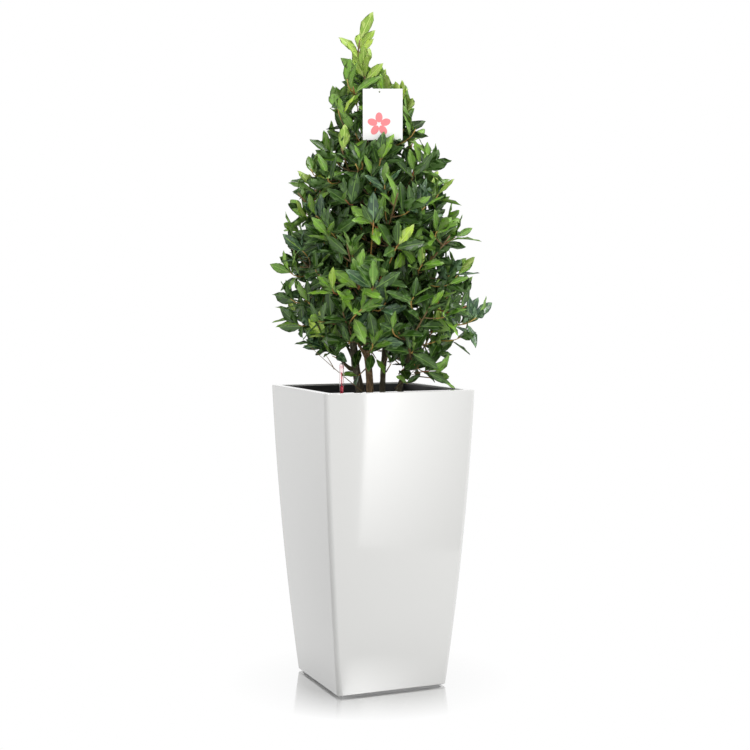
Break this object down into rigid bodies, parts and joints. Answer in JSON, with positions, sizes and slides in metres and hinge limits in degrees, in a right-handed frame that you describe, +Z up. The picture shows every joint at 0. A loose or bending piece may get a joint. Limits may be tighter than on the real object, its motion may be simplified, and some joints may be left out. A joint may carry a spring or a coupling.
{
  "type": "potted bay laurel pyramid",
  "caption": "Multi-stemmed bay laurel grown as a loose leafy pyramid, in a tall square tapered glossy white planter with a dark growing insert, water gauge and small hanging card.",
  "frame": {"origin": "centre of the planter's flat underside, on the floor", "axes": "+Z up along the plant, -Y out of the planter's front face, X to the right across that face"},
  "size_m": [0.5378, 0.5429, 1.6976],
  "materials": {
    "planter_lacquer": "gloss",
    "dark_plastic": "matte",
    "potting_mix": "matte",
    "clear_plastic": "gloss",
    "red_plastic": "satin",
    "card": "matte",
    "thread": "matte",
    "bark": "matte",
    "young_bark": "matte",
    "bay_leaves": "satin"
  },
  "bodies": {
    "root": {"bough_high_1": "young_bark", "bough_high_2": "young_bark", "bough_high_3": "young_bark", "bough_low_1": "young_bark", "bough_low_2": "young_bark", "bough_low_3": "young_bark", "bough_low_4": "young_bark", "bough_low_5": "young_bark", "bough_middle_1": "young_bark", "bough_middle_2": "young_bark", "bough_middle_3": "young_bark", "bough_middle_4": "young_bark", "bough_skirt_2": "young_bark", "bough_skirt_3": "young_bark", "bough_skirt_4": "young_bark", "bough_skirt_5": "young_bark", "bough_skirt_6": "young_bark", "bough_upper_3": "young_bark", "bough_upper_4": "young_bark", "card_tie": "thread", "gauge_float": "red_plastic", "gauge_tube": "clear_plastic", "gift_card": "card", "growing_insert": "dark_plastic", "mass_high_1": "bay_leaves", "mass_high_2": "bay_leaves", "mass_high_3": "bay_leaves", "mass_low_1": "bay_leaves", "mass_low_2": "bay_leaves", "mass_low_3": "bay_leaves", "mass_low_4": "bay_leaves", "mass_low_5": "bay_leaves", "mass_middle_1": "bay_leaves", "mass_middle_2": "bay_leaves", "mass_middle_3": "bay_leaves", "mass_middle_4": "bay_leaves", "mass_skirt_1": "bay_leaves", "mass_skirt_2": "bay_leaves", "mass_skirt_3": "bay_leaves", "mass_skirt_4": "bay_leaves", "mass_skirt_5": "bay_leaves", "mass_skirt_6": "bay_leaves", "mass_top": "bay_leaves", "mass_upper_1": "bay_leaves", "mass_upper_2": "bay_leaves", "mass_upper_3": "bay_leaves", "mass_upper_4": "bay_leaves", "planter_foot": "dark_plastic", "planter_shell": "planter_lacquer", "potting_mix": "potting_mix", "stem_leader": "bark", "stem_left": "bark", "stem_low_right": "bark", "stem_right": "bark"}
  },
  "joints": []
}
